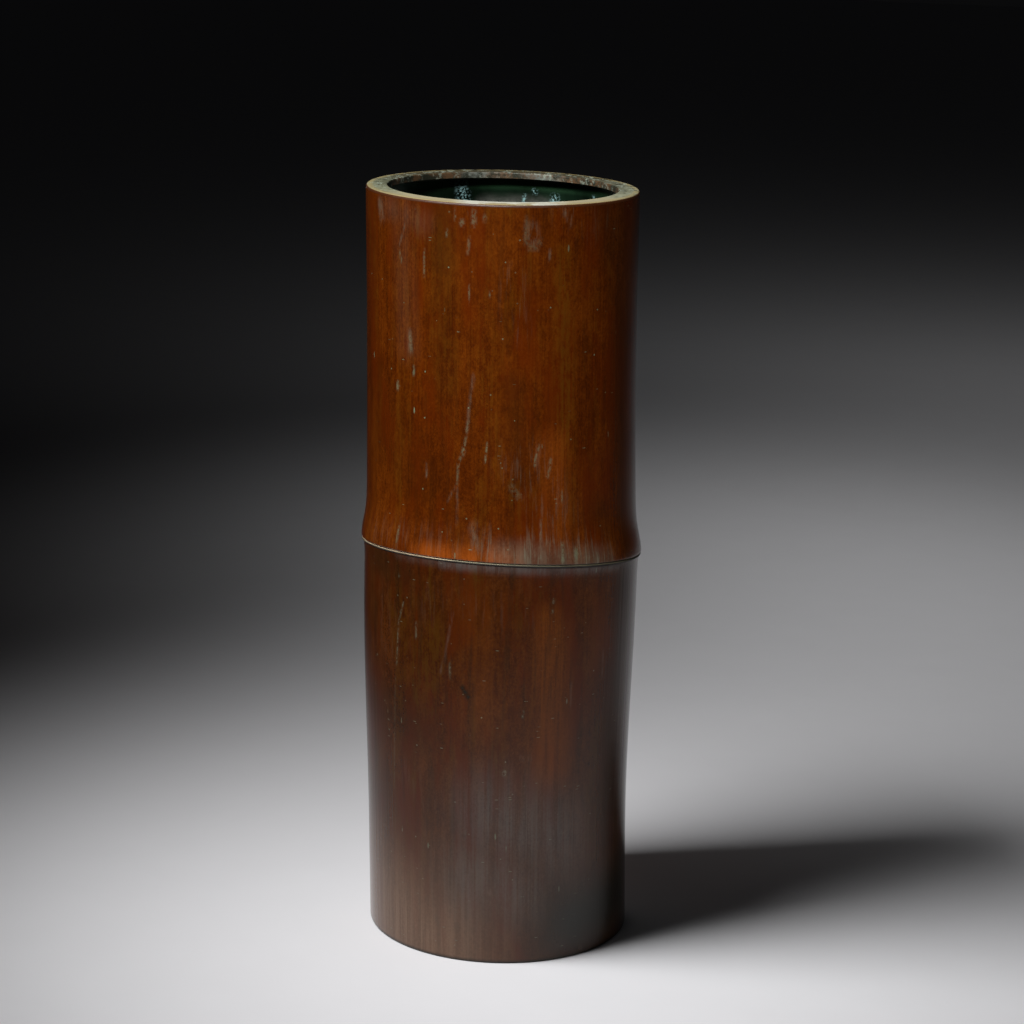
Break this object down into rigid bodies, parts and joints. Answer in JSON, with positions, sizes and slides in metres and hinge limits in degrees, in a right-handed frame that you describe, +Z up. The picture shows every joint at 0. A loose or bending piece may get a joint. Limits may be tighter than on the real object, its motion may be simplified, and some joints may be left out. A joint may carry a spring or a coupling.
{
  "type": "flower vase",
  "caption": "Tall bronze flower vessel shaped as a cut length of bamboo, with a slanted node, a flat pale rim ring and a deep round well.",
  "frame": {"origin": "under the middle of the vessel, on the surface that it stands on", "axes": "+Z up along the culm, -Y towards the high side of the slanted node, -X towards the side that the culm leans to"},
  "size_m": [0.1043, 0.104, 0.28],
  "materials": {
    "upper_bronze": "orange-brown patina with fine upright streaks and spots of verdigris",
    "lower_bronze": "dark umber patina with fine upright streaks",
    "bead_bronze": "rubbed bright along its edge",
    "rim_bronze": "pale greenish gold, ground flat and worn",
    "base_bronze": "dark green patina from standing water",
    "solder": "dull grey-green"
  },
  "bodies": {
    "root": {"upper_culm": "upper_bronze", "lower_culm": "lower_bronze", "node_ring": "bead_bronze", "rim_ring": "rim_bronze", "base_plate": "base_bronze", "rim_solder": "solder", "node_solder": "solder", "base_solder": "solder"}
  },
  "joints": []
}
